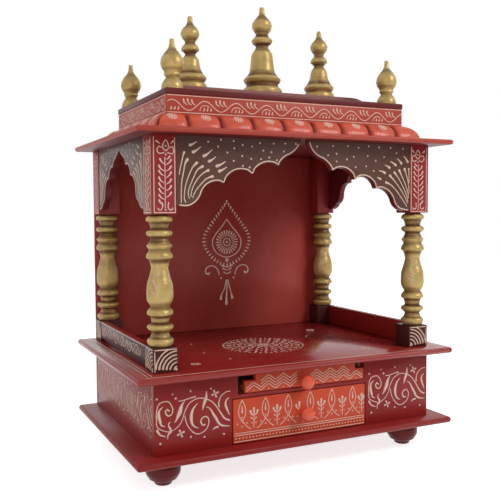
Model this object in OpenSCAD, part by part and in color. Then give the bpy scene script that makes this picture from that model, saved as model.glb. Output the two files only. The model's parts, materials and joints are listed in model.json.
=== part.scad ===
// Painted wooden home shrine: a base box with a drawer and a pull-out tray, an open
// pillared room with scalloped arches, and a stepped roof carrying turned finials.
// Millimetres, +Z up, -Y is the front.  Origin: on the floor, under the middle of the bounding box.

/* [Boards] */
// deck board width
deck_w = 600; // [480:1:720]
// deck board depth
deck_d = 408; // [330:1:480]
// thickness of the deck board and of the base plate
board_t = 11; // [8:0.5:16]
// base plate width
plate_w = 602; // [480:1:720]
// base plate depth
plate_d = 400; // [330:1:480]
// eave board width
eave_w = 594; // [480:1:720]
// eave board depth
eave_d = 418; // [330:1:480]
// eave board thickness
eave_t = 9; // [6:0.5:14]
// height of the floor of the room above the ground
deck_z = 188.5; // [140:0.5:230]
// height of the underside of the eave board
eave_z = 558.5; // [440:0.5:640]

/* [Carcass] */
// outer width of the base box and of the four posts
box_w = 530; // [420:1:640]
// front face of the base box
box_y0 = -176; // [-224:1:-124]
// rear face of the base box
box_y1 = 192; // [136:1:236]
// thickness of the carcass boards
wall_t = 12; // [8:0.5:18]
// thickness of the thin back panel
back_t = 6; // [3:0.5:12]

/* [Posts] */
// side of the square post blocks
block = 41; // [30:0.5:55]
// height of the lower blocks and of the side rails
low_h = 39.5; // [25:0.5:60]
// height of the upper blocks
up_h = 123; // [90:0.5:160]
// thickness of the arch boards
arch_t = 12; // [8:0.5:18]

/* [Drawer and tray] */
// drawer front width
drawer_w = 257; // [180:1:320]
// drawer front height
drawer_h = 73; // [50:0.5:90]
// middle of the drawer, left of the middle of the shrine
drawer_x = -2; // [-10:0.5:10]
// drawer length behind its front
drawer_l = 300; // [200:1:320]
// tray front width
tray_w = 232.5; // [160:0.5:300]
// middle of the tray
tray_x = 7.25; // [-10:0.25:15]
// tray board length behind its front
tray_l = 290; // [200:1:320]
// knob diameter
knob_d = 25; // [16:0.5:34]
// how far the knobs stand out
knob_l = 24; // [14:0.5:34]

/* [Roof] */
// frieze width
frieze_w = 457; // [380:1:520]
// frieze front face
frieze_y0 = -144.5; // [-184:0.5:-104]
// frieze rear face
frieze_y1 = 131.5; // [96:0.5:176]
// radius of the cushion moulding
cush_r = 27.5; // [18:0.5:36]
// depth of the grooves between the cushions
cush_g = 4; // [2:0.5:7]
// number of cushions along the front
cush_n = 9; // [5:1:13]
// frieze height above the moulding
frieze_h = 31; // [20:0.5:45]
// thickness of the top board
top_t = 9.5; // [6:0.5:14]
// thickness of the upper tier
tier_t = 20; // [12:0.5:28]

/* [Feet] */
// foot height
foot_h = 47; // [30:0.5:60]
// foot position from the middle, across
foot_x = 238; // [180:1:270]
// front and rear feet, from the middle of the base plate
foot_y = 132; // [100:1:170]

/* [Hidden] */
$fn = 72;
plate_z = foot_h;
plate_top = plate_z + board_t;
deck_bot = deck_z - board_t;
low_z1 = deck_z + low_h;
up_z0 = eave_z - up_h;
eave_top = eave_z + eave_t;
frieze_z1 = eave_top + cush_r + frieze_h;
top_z1 = frieze_z1 + top_t;
tier_z1 = top_z1 + tier_t;
hw = box_w / 2;
rear_y = box_y1 - back_t;          // front face of the back panel
rear_b = 37;                       // depth of the rear blocks
front_c = box_y0 + block / 2;      // middle of the front posts
rear_c = rear_y - rear_b / 2;      // middle of the rear posts
post_x = hw - block / 2;
drawer_z0 = plate_top + 1.8;
shelf_t = 6;
shelf_z0 = drawer_z0 + drawer_h + 1.5;
shelf_z1 = shelf_z0 + shelf_t;
open_x0 = drawer_x - drawer_w / 2 - 1.8;
open_x1 = drawer_x + drawer_w / 2 + 1.8;
slot_x0 = tray_x - tray_w / 2 - 12;
slot_x1 = tray_x + tray_w / 2 + 1.8;
tray_z0 = shelf_z1 + 1.2;
tray_strip = 20;
gap = 5;

// ---- turned profiles: [radius, height] ----
foot_p = [[0, 0], [12, 0], [14, 1.5], [15.5, 5], [19, 8], [22.5, 9.5], [25.5, 14], [28.2, 19],
  [29, 24], [28.6, 30], [26.5, 36], [24.5, 39], [24.5, 47], [0, 47]];
bal_p = [[0, 0], [15, 0], [18, 1.5], [20, 5], [21, 8.5], [20, 11.5], [16.5, 14], [14.2, 18.5],
  [13.2, 22.5], [15.2, 24], [18.2, 26.5], [20.4, 29.2], [20.8, 31.5], [19.4, 33.8], [16, 35.5],
  [13.4, 37], [14, 41], [15, 45.5], [16.6, 48.5], [19.8, 50.2], [20.8, 52.7], [20.4, 55],
  [18.8, 58], [16.2, 61], [14.8, 62.8], [15.8, 65], [18, 68.5], [20, 72], [21, 77], [21.1, 83],
  [20.9, 90], [20, 98.5], [18.2, 105], [16.6, 109.5], [14.9, 116], [13.6, 121], [13.4, 124.8],
  [14.4, 130], [16, 134.8], [17.7, 137.3], [20.2, 138.9], [21, 141.2], [20.4, 144.4],
  [18.8, 147.5], [17.2, 149.7], [16.6, 152], [18.4, 155.2], [20, 157.8], [20.5, 159.4],
  [17.8, 161.3], [16, 164.5], [14.6, 167.5], [13.9, 170.8], [15.8, 172.4], [19.4, 174.7],
  [20.8, 177.8], [19.8, 181], [15.7, 183.3], [13.5, 184.2], [13.8, 186.5], [15.2, 191.4],
  [16.6, 194.5], [18.5, 196], [20.7, 196.9], [20.7, 200.8], [18.8, 203.6], [16.4, 205],
  [14, 206.2], [14, 207.5], [0, 207.5]];
corner_p = [[0, 0], [17.8, 0], [17.6, 5], [16.8, 9], [14.8, 12.6], [12.7, 16], [10.6, 18.6],
  [10.4, 20.4], [12.2, 22.4], [13.2, 24.6], [12.6, 26.8], [13.4, 29.4], [15.6, 33], [17.6, 36.2],
  [18.8, 41], [18.5, 45], [17.8, 49], [16.2, 52.6], [14, 56], [11.4, 59.6], [8.2, 63],
  [5.9, 67], [4.7, 70.6], [4, 74.5], [3.7, 80.6], [3, 81.3], [0, 81.3]];
side_p = [[0, 0], [30, 0], [30, 6], [28.6, 10.5], [25.2, 14], [25.4, 16], [27.8, 18.9],
  [28.9, 22.4], [26.8, 26.2], [23.2, 29.6], [20.9, 34], [18.9, 38.4], [17.4, 42.4],
  [16.8, 46.4], [16.3, 50], [15.6, 53.6], [13.8, 57.4], [10.6, 61.4], [9.4, 63.6], [9.5, 65.6],
  [12.2, 68.6], [15.8, 71.2], [16.2, 73.2], [15.3, 76.4], [12.4, 80.4], [9.3, 83.4],
  [9.1, 85.4], [10, 88.2], [13.2, 92], [15.4, 95.8], [16.8, 99.8], [16.4, 103.4],
  [14.6, 107.3], [11.8, 111.2], [8, 115], [5.6, 118.8], [4.7, 122.6], [4.5, 128], [3.2, 131.6],
  [0, 131.6]];
centre_p = [[0, 0], [37, 0], [37, 7.5], [34.3, 12], [29.9, 15.6], [29.3, 19.3], [33.4, 23.8],
  [34.9, 28.4], [31.8, 32], [27.8, 35.7], [24.2, 41.2], [22.8, 46.7], [21.7, 56], [20.8, 65],
  [20, 72.3], [18.2, 77.8], [14.1, 83.3], [12, 86], [11.8, 90.6], [13.6, 92.5], [17.6, 95.2],
  [19.7, 99.8], [17.6, 103.4], [13.5, 107], [11.8, 109], [11.8, 113.5], [13.9, 116.2],
  [17.4, 121.7], [18.6, 127.2], [17.8, 132.7], [13.9, 138.2], [8.9, 143.7], [5.9, 147.4],
  [5, 152.8], [4.8, 158.5], [3.6, 161.4], [0, 162]];
knob_p = [[0, 0], [6.5, 0], [6.2, 2], [5.6, 6], [6.6, 9.5], [10.2, 12], [12.5, 15], [12.2, 18.5],
  [9.4, 22], [5, 23.7], [0, 24]];

module turned(p) { rotate_extrude() polygon(p); }

// ---- boards ----
// a board with a half-round nose on its four edges
module nosed(w, d, t, y0) {
  r = t / 2;
  translate([0, y0 + d / 2, r]) union() {
    cube([w - t, d - t, t], center = true);
    for (s = [-1, 1]) {
      translate([s * (w / 2 - r), 0, 0]) rotate([90, 0, 0])
        cylinder(r = r, h = d - t, center = true, $fn = 32);
      translate([0, s * (d / 2 - r), 0]) rotate([0, 90, 0])
        cylinder(r = r, h = w - t, center = true, $fn = 32);
      for (q = [-1, 1]) translate([s * (w / 2 - r), q * (d / 2 - r), 0])
        sphere(r = r, $fn = 32);
    }
  }
}
module box(a, b) { translate(a) cube(b - a); }

// ---- arches: points of one half, [distance from the apex, height], joined by arcs ----
function mid3(a, b, c) =
  let (d = 2 * (a[0] * (b[1] - c[1]) + b[0] * (c[1] - a[1]) + c[0] * (a[1] - b[1])),
       qa = a * a, qb = b * b, qc = c * c)
  [(qa * (b[1] - c[1]) + qb * (c[1] - a[1]) + qc * (a[1] - b[1])) / d,
   (qa * (c[0] - b[0]) + qb * (a[0] - c[0]) + qc * (b[0] - a[0])) / d];
function wrap(x) = x > 180 ? x - 360 : x < -180 ? x + 360 : x;
// an arc from a to c through b, without its last point
function arc3(a, b, c, n) =
  let (m = mid3(a, b, c), r = norm(a - m),
       t0 = atan2(a[1] - m[1], a[0] - m[0]),
       tb = wrap(atan2(b[1] - m[1], b[0] - m[0]) - t0),
       tc0 = wrap(atan2(c[1] - m[1], c[0] - m[0]) - t0),
       tc = tb * tc0 < 0 ? (tc0 > 0 ? tc0 - 360 : tc0 + 360) : tc0)
  [for (i = [0 : n - 1]) m + r * [cos(t0 + tc * i / n), sin(t0 + tc * i / n)]];
function arcs(p, n) = concat(
  [for (k = [0 : 2 : len(p) - 3]) for (q = arc3(p[k], p[k + 1], p[k + 2], n)) q],
  [p[len(p) - 1]]);

// half outlines: [distance from the middle, height]; every second point is a cusp or a turn
left_half = [[2, 554.6], [9.5, 543], [24, 532.4], [36, 525.6], [44.6, 513.9], [62, 519],
  [92.4, 499.1], [116, 506], [143, 484.2], [165, 485], [182.5, 465.4], [190, 454.8],
  [201, 447.8], [211, 446.6], [224, 449]];
right_half = [[12.4, 554.6], [20.9, 539], [39.8, 527.7], [51.5, 519.5], [59.9, 507.8],
  [80, 513.5], [105.7, 493.9], [126, 499.6], [150.2, 478.9], [170, 476.8], [188.9, 454.2],
  [194.2, 447], [202, 441.6], [212, 439.2], [224, 438.6]];
side_half = [[0, 548], [9, 541.5], [27, 532.8], [35, 527.5], [41, 518.8], [56, 517.5],
  [68.5, 499.8], [85, 495.5], [96.5, 474], [100, 464], [112, 456], [124, 446.5], [139.4, 443.8]];

module arch_plate(pts, side, edge) {
  // pts in the half's own frame; edge is the distance of the block's face from the middle
  o = concat([for (q = arcs(pts, 6)) [side * q[0], q[1]]],
    [[side * edge, pts[len(pts) - 1][1]], [side * edge, eave_z], [side * pts[0][0], eave_z]]);
  rotate([90, 0, 0]) linear_extrude(arch_t) polygon(o);
}

// ---- cushion moulding: a quarter round whose radius swells between grooves ----
function swell(u) = 1 - abs(u) * abs(u) * abs(u);
us = [-1, -0.86, -0.6, 0, 0.6, 0.86];
module cushions(len_in, len_out, n) {
  p = len_out / n;
  pts = concat([[0, -len_out / 2]],
    [for (k = [0 : n - 1]) for (u = us)
      [cush_r - cush_g * (1 - swell(u)), -len_out / 2 + p * (k + 0.5 + u / 2)]],
    [[cush_r - cush_g, len_out / 2], [0, len_out / 2]]);
  intersection() {
    rotate([0, 90, 0]) rotate_extrude($fn = 96) polygon(pts);
    linear_extrude(cush_r + 1) polygon([[-len_in / 2, 0], [-len_in / 2 - cush_r, -cush_r],
      [len_in / 2 + cush_r, -cush_r], [len_in / 2, 0]]);
  }
}

// ---- nodes: base ----
module feet() color([0.33, 0.06, 0.06]) for (s = [-1, 1], q = [-1, 1])
  translate([s * foot_x, q * foot_y - 5, 0]) turned(foot_p);
module base_plate() color([0.5, 0.1, 0.09])
  translate([0, 0, plate_z]) nosed(plate_w, plate_d, board_t, -205);
module base_front() color([0.42, 0.09, 0.08]) difference() {
  box([-hw, box_y0, plate_top], [hw, box_y0 + wall_t, deck_bot]);
  box([open_x0, box_y0 - 1, plate_top - 1], [open_x1, box_y0 + wall_t + 1, shelf_z0]);
  box([slot_x0, box_y0 - 1, shelf_z1], [slot_x1, box_y0 + wall_t + 1, deck_bot + 1]);
}
module base_left() color([0.42, 0.09, 0.08])
  box([-hw, box_y0 + wall_t, plate_top], [-hw + wall_t, box_y1 - wall_t, deck_bot]);
module base_right() color([0.42, 0.09, 0.08]) mirror([1, 0, 0]) base_left();
module base_back() color([0.4, 0.08, 0.08])
  box([-hw, box_y1 - wall_t, plate_top], [hw, box_y1, deck_bot]);
guide_in = drawer_w / 2 - 10.5 + gap;
module drawer_guides() color([0.5, 0.3, 0.2]) for (s = [-1, 1])
  translate([drawer_x + s * (guide_in + 4.5), 0, 0])
    box([-4.5, box_y0 + wall_t + 1, plate_top], [4.5, box_y1 - wall_t, shelf_z0]);
module divider_shelf() color([0.42, 0.09, 0.08])
  box([drawer_x - guide_in - 9, box_y0 + wall_t, shelf_z0],
      [drawer_x + guide_in + 9, box_y1 - wall_t, shelf_z1]);
module tray_guides() color([0.5, 0.3, 0.2]) {
  box([drawer_x - guide_in - 9, box_y0 + wall_t, shelf_z1],
      [slot_x0 + 2, box_y1 - wall_t, deck_bot]);
  box([drawer_x + guide_in, box_y0 + wall_t + 1, shelf_z1],
      [drawer_x + guide_in + 9, box_y1 - wall_t, deck_bot]);
}
module deck_board() color([0.55, 0.11, 0.1])
  translate([0, 0, deck_bot]) nosed(deck_w, deck_d, board_t, -208);

// ---- nodes: room ----
rail_y0 = box_y0 + block;
rail_y1 = rear_y - rear_b;
module rail_left() color([0.45, 0.3, 0.28]) translate([0, rail_y1, 0]) rotate([90, 0, 0])
  linear_extrude(rail_y1 - rail_y0) polygon([[-hw + 0.5, deck_z + 7.5], [-hw + 0.5, low_z1],
    [-hw + 12.5, low_z1], [-hw + 12.5, deck_z], [-hw + 6.5, deck_z], [-hw + 6.5, deck_z + 7.5]]);
module rail_right() color([0.45, 0.3, 0.28]) mirror([1, 0, 0]) rail_left();
module posts4(z0, z1) for (s = [-1, 1]) {
  box([s > 0 ? hw - block : -hw, box_y0, z0], [s > 0 ? hw : -hw + block, box_y0 + block, z1]);
  box([s > 0 ? hw - block : -hw, rail_y1, z0], [s > 0 ? hw : -hw + block, rear_y, z1]);
}
module lower_blocks() color([0.3, 0.1, 0.09]) posts4(deck_z, low_z1);
module upper_blocks() color([0.52, 0.12, 0.11]) posts4(up_z0, eave_z);
module balusters() color([0.7, 0.58, 0.3]) for (s = [-1, 1], y = [front_c, rear_y - 21.5])
  translate([s * (post_x + 1.5), y, low_z1]) turned(bal_p);
arch_edge = hw - block;
module arch_front_left() color([0.28, 0.17, 0.16])
  translate([0, box_y0 + 1 + arch_t, 0]) arch_plate(left_half, -1, arch_edge);
module arch_front_right() color([0.28, 0.17, 0.16])
  translate([0, box_y0 + 1 + arch_t, 0]) arch_plate(right_half, 1, arch_edge);
arch_mid = (rail_y0 + rail_y1) / 2;
arch_half = (rail_y1 - rail_y0) / 2;
module arch_left() color([0.45, 0.36, 0.34]) {
  h = arcs(side_half, 6);
  n = len(h);
  o = concat([[-arch_half, eave_z], [-arch_half, side_half[len(side_half) - 1][1]]],
    [for (i = [n - 1 : -1 : 1]) [-h[i][0], h[i][1]]], [for (q = h) q],
    [[arch_half, side_half[len(side_half) - 1][1]], [arch_half, eave_z]]);
  translate([-hw + 1, arch_mid, 0]) rotate([90, 0, 90]) linear_extrude(arch_t) polygon(o);
}
module arch_right() color([0.45, 0.36, 0.34]) mirror([1, 0, 0]) arch_left();
module back_panel() color([0.45, 0.09, 0.08])
  box([-hw, rear_y, deck_z], [hw, box_y1, eave_z]);

// ---- nodes: roof ----
module eave_board() color([0.72, 0.22, 0.14])
  translate([0, 0, eave_z]) nosed(eave_w, eave_d, eave_t, -209);
frieze_d = frieze_y1 - frieze_y0;
frieze_mid = (frieze_y0 + frieze_y1) / 2;
side_n = 6;
module moulding_front() color([0.75, 0.25, 0.16]) translate([0, frieze_y0, eave_top])
  cushions(frieze_w, frieze_w + 2 * cush_r, cush_n);
module moulding_rear() color([0.75, 0.25, 0.16]) translate([0, frieze_y1, eave_top])
  mirror([0, 1, 0]) cushions(frieze_w, frieze_w + 2 * cush_r, cush_n);
module moulding_left() color([0.75, 0.25, 0.16])
  translate([-frieze_w / 2, frieze_mid, eave_top]) rotate([0, 0, -90])
    cushions(frieze_d, frieze_d + 2 * cush_r, side_n);
module moulding_right() color([0.75, 0.25, 0.16]) mirror([1, 0, 0]) moulding_left();
fw = frieze_w / 2;
module frieze_front() color([0.66, 0.2, 0.13])
  box([-fw, frieze_y0, eave_top], [fw, frieze_y0 + wall_t, frieze_z1]);
module frieze_rear() color([0.66, 0.2, 0.13])
  box([-fw, frieze_y1 - wall_t, eave_top], [fw, frieze_y1, frieze_z1]);
module frieze_sides() color([0.66, 0.2, 0.13]) for (s = [-1, 1])
  box([s > 0 ? fw - wall_t : -fw, frieze_y0 + wall_t, eave_top],
      [s > 0 ? fw : -fw + wall_t, frieze_y1 - wall_t, frieze_z1]);
module top_board() color([0.42, 0.1, 0.12])
  box([-fw - 1, frieze_y0 - 1.5, frieze_z1], [fw + 1, frieze_y1 + 1, top_z1]);
module roof_tier() color([0.62, 0.35, 0.33]) {
  // a loaf with ends rounded down to the top board
  translate([0, 48, top_z1]) rotate([90, 0, 0]) linear_extrude(110) polygon(concat(
    [[-208, 0]], [for (a = [0 : 15 : 90]) [-173 - 35 * cos(a), 3 + (tier_t - 3) * sin(a)]],
    [for (a = [90 : -15 : 0]) [173 + 35 * cos(a), 3 + (tier_t - 3) * sin(a)]], [[208, 0]]));
}
module corner_finials() color([0.66, 0.56, 0.32]) for (s = [-1, 1], y = [-122, 109.5])
  translate([s * 210, y, top_z1]) turned(corner_p);
module side_finials() color([0.66, 0.56, 0.32]) for (x = [-135.5, 131.5])
  translate([x, -10, tier_z1]) turned(side_p);
module centre_finial() color([0.66, 0.56, 0.32])
  translate([5, -16, tier_z1]) turned(centre_p);

// ---- nodes: drawer ----
dr_x0 = drawer_x - drawer_w / 2;
dr_x1 = drawer_x + drawer_w / 2;
dr_in = drawer_w / 2 - 10.5;       // half the outer width of the drawer box
dr_wall = 8;
dr_y1 = box_y0 + wall_t + drawer_l;
module drawer_front() color([0.76, 0.24, 0.14])
  box([dr_x0, box_y0 - 0.5, drawer_z0], [dr_x1, box_y0 + wall_t - 0.5, drawer_z0 + drawer_h]);
module drawer_box() color([0.62, 0.45, 0.3]) {
  z1 = drawer_z0 + drawer_h - 14;
  difference() {
    box([drawer_x - dr_in, box_y0 + wall_t - 0.5, drawer_z0], [drawer_x + dr_in, dr_y1, z1]);
    box([drawer_x - dr_in + dr_wall, box_y0, drawer_z0 - 1],
        [drawer_x + dr_in - dr_wall, dr_y1 - dr_wall, z1 + 1]);
  }
}
module drawer_bottom() color([0.58, 0.42, 0.28])
  box([drawer_x - dr_in + dr_wall, box_y0 + wall_t - 0.5, drawer_z0],
      [drawer_x + dr_in - dr_wall, dr_y1 - dr_wall, drawer_z0 + 5]);
module knob() rotate([90, 0, 0]) turned(knob_p);
module drawer_knob() color([0.85, 0.3, 0.17]) translate([0, box_y0 - 0.5, 96.5]) knob();

// ---- nodes: tray ----
tr_x0 = tray_x - tray_w / 2;
tr_x1 = tray_x + tray_w / 2;
module tray_front() color([0.74, 0.24, 0.15]) translate([0, box_y0 + wall_t - 0.5, 0])
  rotate([90, 0, 0]) linear_extrude(wall_t) polygon([[tr_x0, tray_z0], [tr_x1, tray_z0],
    [tr_x1, tray_z0 + tray_strip], [tr_x1 - 17.5, tray_z0 + tray_strip],
    [tr_x1 - 17.5, deck_bot - 1], [tr_x0 + 20, deck_bot - 1],
    [tr_x0 + 20, tray_z0 + tray_strip], [tr_x0, tray_z0 + tray_strip]]);
module tray_board() color([0.55, 0.38, 0.25]) box([tr_x0 + 3, box_y0 + wall_t - 0.5, tray_z0],
  [tr_x1 - 12, box_y0 + wall_t + tray_l, tray_z0 + 9]);
module tray_knob() color([0.85, 0.3, 0.17]) translate([0, box_y0 - 0.5, 151]) knob();

feet();
base_plate();
base_front();
base_left();
base_right();
base_back();
drawer_guides();
divider_shelf();
tray_guides();
deck_board();
rail_left();
rail_right();
lower_blocks();
balusters();
upper_blocks();
arch_front_left();
arch_front_right();
arch_left();
arch_right();
back_panel();
eave_board();
moulding_front();
moulding_rear();
moulding_left();
moulding_right();
frieze_front();
frieze_rear();
frieze_sides();
top_board();
roof_tier();
corner_finials();
side_finials();
centre_finial();
drawer_front();
drawer_box();
drawer_bottom();
drawer_knob();
tray_front();
tray_board();
tray_knob();
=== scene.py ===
import bpy
import json
import math
from mathutils import Matrix, Vector

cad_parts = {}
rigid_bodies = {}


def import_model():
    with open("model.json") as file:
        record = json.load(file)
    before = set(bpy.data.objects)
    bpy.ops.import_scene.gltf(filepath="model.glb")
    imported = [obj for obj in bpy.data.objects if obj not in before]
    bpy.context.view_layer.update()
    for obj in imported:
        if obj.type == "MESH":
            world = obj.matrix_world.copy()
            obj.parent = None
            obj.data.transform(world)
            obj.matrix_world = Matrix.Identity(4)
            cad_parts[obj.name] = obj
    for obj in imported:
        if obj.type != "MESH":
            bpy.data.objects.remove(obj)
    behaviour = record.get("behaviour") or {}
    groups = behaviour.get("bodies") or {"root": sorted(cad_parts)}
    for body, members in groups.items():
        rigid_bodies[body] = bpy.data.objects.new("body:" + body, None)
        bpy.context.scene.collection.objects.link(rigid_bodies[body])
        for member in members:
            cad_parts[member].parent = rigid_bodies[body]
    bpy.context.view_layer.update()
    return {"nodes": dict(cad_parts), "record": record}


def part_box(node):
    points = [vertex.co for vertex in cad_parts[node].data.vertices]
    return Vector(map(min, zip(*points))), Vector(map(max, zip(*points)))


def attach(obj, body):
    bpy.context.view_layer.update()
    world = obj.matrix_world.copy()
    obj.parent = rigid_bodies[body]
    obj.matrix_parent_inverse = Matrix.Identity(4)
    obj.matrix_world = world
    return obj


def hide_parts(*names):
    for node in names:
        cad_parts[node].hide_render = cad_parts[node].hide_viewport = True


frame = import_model()
nodes = frame["nodes"]
body_of = {n: b for b, names in frame["record"]["behaviour"]["bodies"].items() for n in names}
MM = 0.001
X, Y, Z = Vector((1, 0, 0)), Vector((0, 1, 0)), Vector((0, 0, 1))


# ---------------------------------------------------------------- camera, lamps, floor
def camera():
    at = Vector((-0.6115, -1.2476, 0.4377))
    yaw, pitch, roll = (math.radians(a) for a in (25.584, -2.948, -0.30))
    fwd = Vector((math.sin(yaw) * math.cos(pitch), math.cos(yaw) * math.cos(pitch),
                  math.sin(pitch)))
    right = Vector((math.cos(yaw), -math.sin(yaw), 0))
    up = right.cross(fwd)
    r2 = right * math.cos(roll) + up * math.sin(roll)
    u2 = up * math.cos(roll) - right * math.sin(roll)
    place = Matrix((r2, u2, -fwd)).transposed().to_4x4()
    place.translation = at
    cam = bpy.data.objects.new("camera", bpy.data.cameras.new("camera"))
    bpy.context.scene.collection.objects.link(cam)
    cam.matrix_world = place
    cam.data.sensor_width, cam.data.lens = 36, 52.57
    bpy.context.scene.camera = cam


def lamp(name, at, look, size, watts, colour=(1, 1, 1)):
    data = bpy.data.lights.new(name, "AREA")
    data.shape, data.size, data.energy, data.color = "DISK", size, watts, colour
    ob = bpy.data.objects.new(name, data)
    bpy.context.scene.collection.objects.link(ob)
    ob.location = at
    ob.rotation_euler = (Vector(look) - Vector(at)).to_track_quat("-Z", "Y").to_euler()


# ---------------------------------------------------------------- node helpers
class Net:
    """Short hand for wiring a node tree."""

    def __init__(self, tree):
        self.tree = tree

    def add(self, kind, values=None, **props):
        node = self.tree.nodes.new(kind)
        for k, v in props.items():
            setattr(node, k, v)
        for k, v in (values or {}).items():
            if isinstance(v, bpy.types.NodeSocket):
                self.tree.links.new(v, node.inputs[k])
            else:
                node.inputs[k].default_value = v
        return node

    def math(self, op, a, b=0.0, clamp=False):
        n = self.add("ShaderNodeMath", {0: a, 1: b}, operation=op, use_clamp=clamp)
        return n.outputs[0]

    def ramp(self, fac, low, high, a=0.0, b=1.0):
        n = self.add("ShaderNodeMapRange", {"Value": fac, "From Min": low, "From Max": high,
                                            "To Min": a, "To Max": b})
        return n.outputs[0]

    def mix(self, fac, a, b):
        n = self.add("ShaderNodeMix", data_type="RGBA")
        for i, v in ((0, fac), (6, a), (7, b)):
            if isinstance(v, bpy.types.NodeSocket):
                self.tree.links.new(v, n.inputs[i])
            else:
                n.inputs[i].default_value = v
        return n.outputs[2]

    def noise(self, vector, scale, detail=3.0, rough=0.55):
        n = self.add("ShaderNodeTexNoise", {"Vector": vector, "Scale": scale, "Detail": detail,
                                            "Roughness": rough})
        return n.outputs[0]


def group(name, ins, outs):
    tree = bpy.data.node_groups.new(name, "ShaderNodeTree")
    for n, kind, value in ins:
        s = tree.interface.new_socket(name=n, in_out="INPUT", socket_type=kind)
        if value is not None:
            s.default_value = value
    for n, kind in outs:
        tree.interface.new_socket(name=n, in_out="OUTPUT", socket_type=kind)
    net = Net(tree)
    return net, net.add("NodeGroupInput").outputs, net.add("NodeGroupOutput").inputs


FLOAT, COLOUR, VECTOR = "NodeSocketFloat", "NodeSocketColor", "NodeSocketVector"


def brush_group():
    """Hand brushed enamel: uneven coats, fine streaks along the board, small specks."""
    net, gi, go = group("brushed_coat",
                        [("Place", VECTOR, None), ("Along", VECTOR, (1, 8, 8)),
                         ("Colour", COLOUR, (1, 1, 1, 1)), ("Worn colour", COLOUR, (1, 1, 1, 1)),
                         ("Unevenness", FLOAT, 0.5), ("Roughness", FLOAT, 0.35)],
                        [("Colour", COLOUR), ("Roughness", FLOAT), ("Height", FLOAT)])
    cloud = net.noise(gi["Place"], 6.0, 5.0, 0.6)
    stretched = net.add("ShaderNodeVectorMath", {0: gi["Place"], 1: gi["Along"]},
                        operation="MULTIPLY").outputs[0]
    streak = net.noise(stretched, 38.0, 3.0, 0.5)
    speck = net.noise(gi["Place"], 900.0, 2.0, 0.6)
    fade = net.math("ADD", net.ramp(cloud, 0.35, 0.75, 0.0, 0.7),
                    net.ramp(streak, 0.4, 0.8, 0.0, 0.16))
    fade = net.math("MULTIPLY", fade, gi["Unevenness"], True)
    colour = net.mix(fade, gi["Colour"], gi["Worn colour"])
    net.tree.links.new(colour, go["Colour"])
    rough = net.math("ADD", gi["Roughness"], net.ramp(streak, 0.3, 0.7, -0.05, 0.07))
    rough = net.math("ADD", rough, net.ramp(speck, 0.3, 0.7, -0.03, 0.05), True)
    net.tree.links.new(rough, go["Roughness"])
    height = net.math("ADD", net.math("MULTIPLY", streak, 0.7), net.math("MULTIPLY", speck, 0.3))
    net.tree.links.new(height, go["Height"])
    return net.tree


def grain_group():
    """Bare softwood: growth rings stretched along the board, with fine pores."""
    net, gi, go = group("wood_grain", [("Place", VECTOR, None), ("Along", VECTOR, (1, 8, 8)),
                                       ("Light", COLOUR, (1, 1, 1, 1)), ("Dark", COLOUR, (0, 0, 0, 1))],
                        [("Colour", COLOUR), ("Height", FLOAT)])
    stretched = net.add("ShaderNodeVectorMath", {0: gi["Place"], 1: gi["Along"]},
                        operation="MULTIPLY").outputs[0]
    bend = net.noise(stretched, 5.0, 2.0, 0.5)
    ring = net.add("ShaderNodeTexWave", {"Vector": stretched, "Scale": 9.0, "Distortion": 4.0,
                                         "Detail": 2.0, "Phase Offset": bend},
                   bands_direction="DIAGONAL").outputs[1]
    pore = net.noise(stretched, 160.0, 2.0, 0.6)
    fac = net.math("ADD", net.math("MULTIPLY", ring, 0.6), net.ramp(pore, 0.45, 0.8, 0.0, 0.5), True)
    net.tree.links.new(net.mix(fac, gi["Light"], gi["Dark"]), go["Colour"])
    net.tree.links.new(fac, go["Height"])
    return net.tree


BRUSH, GRAIN = brush_group(), grain_group()
ALONG = {"x": (1, 9, 9), "y": (9, 1, 9), "z": (9, 9, 1)}


def new_material(name):
    mat = bpy.data.materials.new(name)
    mat.use_nodes = True
    net = Net(mat.node_tree)
    return mat, net, mat.node_tree.nodes["Principled BSDF"]


def finish_bump(net, bsdf, height, depth):
    bump = net.add("ShaderNodeBump", {"Height": height, "Strength": 1.0, "Distance": depth})
    net.tree.links.new(bump.outputs[0], bsdf.inputs["Normal"])


def enamel(name, colour, worn, along="x", rough=0.33, coat=0.0, uneven=0.6, depth=0.00012):
    mat, net, bsdf = new_material(name)
    place = net.add("ShaderNodeTexCoord").outputs["Object"]
    g = net.add("ShaderNodeGroup", node_tree=BRUSH)
    for k, v in (("Along", ALONG[along]), ("Colour", (*colour, 1)), ("Worn colour", (*worn, 1)),
                 ("Unevenness", uneven), ("Roughness", rough)):
        g.inputs[k].default_value = v
    net.tree.links.new(place, g.inputs["Place"])
    net.tree.links.new(g.outputs["Colour"], bsdf.inputs["Base Color"])
    net.tree.links.new(g.outputs["Roughness"], bsdf.inputs["Roughness"])
    bsdf.inputs["Coat Weight"].default_value = coat
    bsdf.inputs["Coat Roughness"].default_value = 0.12
    bsdf.inputs["Specular IOR Level"].default_value = 0.24
    finish_bump(net, bsdf, g.outputs["Height"], depth)
    return mat


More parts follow.
